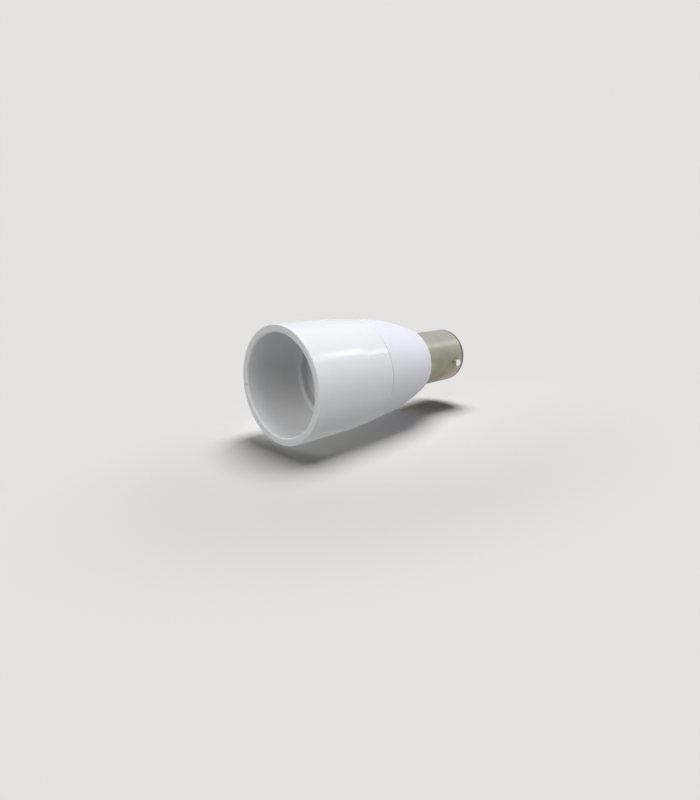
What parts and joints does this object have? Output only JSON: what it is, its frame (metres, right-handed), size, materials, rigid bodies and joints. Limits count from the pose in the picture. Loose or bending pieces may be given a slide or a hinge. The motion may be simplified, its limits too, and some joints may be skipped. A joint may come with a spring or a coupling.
{
  "type": "lamp socket adapter",
  "caption": "Two-part white lamp socket adapter: deep sleeve round a small screw socket, narrowing bell, and a bare metal two-contact bayonet cap with side pins.",
  "frame": {"origin": "centre of the mouth's plane, on which the part stands", "axes": "+Z along the axis from the mouth to the bayonet cap, +Y through one bayonet pin, +X through the live end contact"},
  "size_m": [0.0282, 0.028, 0.0645],
  "materials": {
    "sleeve_plastic": "glossy moulded white",
    "bell_plastic": "satin moulded white",
    "core_plastic": "matt moulded white",
    "shell_nickel": "bright nickel plate on rolled sheet",
    "cap_nickel": "dull nickel plate on drawn brass",
    "pin_brass": "nickel plated, worn at the tip",
    "leaf_bronze": "rolled bronze",
    "eyelet_brass": "pressed brass",
    "solder": "tin solder",
    "phenolic": "dark moulded phenolic",
    "wire_brown": "extruded insulation",
    "wire_blue": "extruded insulation"
  },
  "bodies": {
    "holder": {"front_housing": "sleeve_plastic", "rear_bell": "bell_plastic", "socket_core": "core_plastic", "screw_shell": "shell_nickel", "tab_solder": "solder", "live_wire": "wire_brown", "neutral_wire": "wire_blue", "bayonet_shell": "cap_nickel", "bayonet_pin_near": "pin_brass", "bayonet_pin_far": "pin_brass", "cap_insulator": "phenolic", "contact_eyelet_live": "eyelet_brass", "contact_eyelet_neutral": "eyelet_brass", "tip_solder_live": "solder", "tip_solder_neutral": "solder"},
    "centre_contact": {"contact_leaf": "leaf_bronze", "leaf_solder": "solder"}
  },
  "joints": [
    {"name": "contact_flex", "type": "hinge", "parent": "holder", "child": "centre_contact", "pos_m": [0.0039, 0, 0.0322], "axis": [0, 1, 0], "range_deg": [0, 12], "stiffness_Nm_per_rad": 0.05}
  ]
}
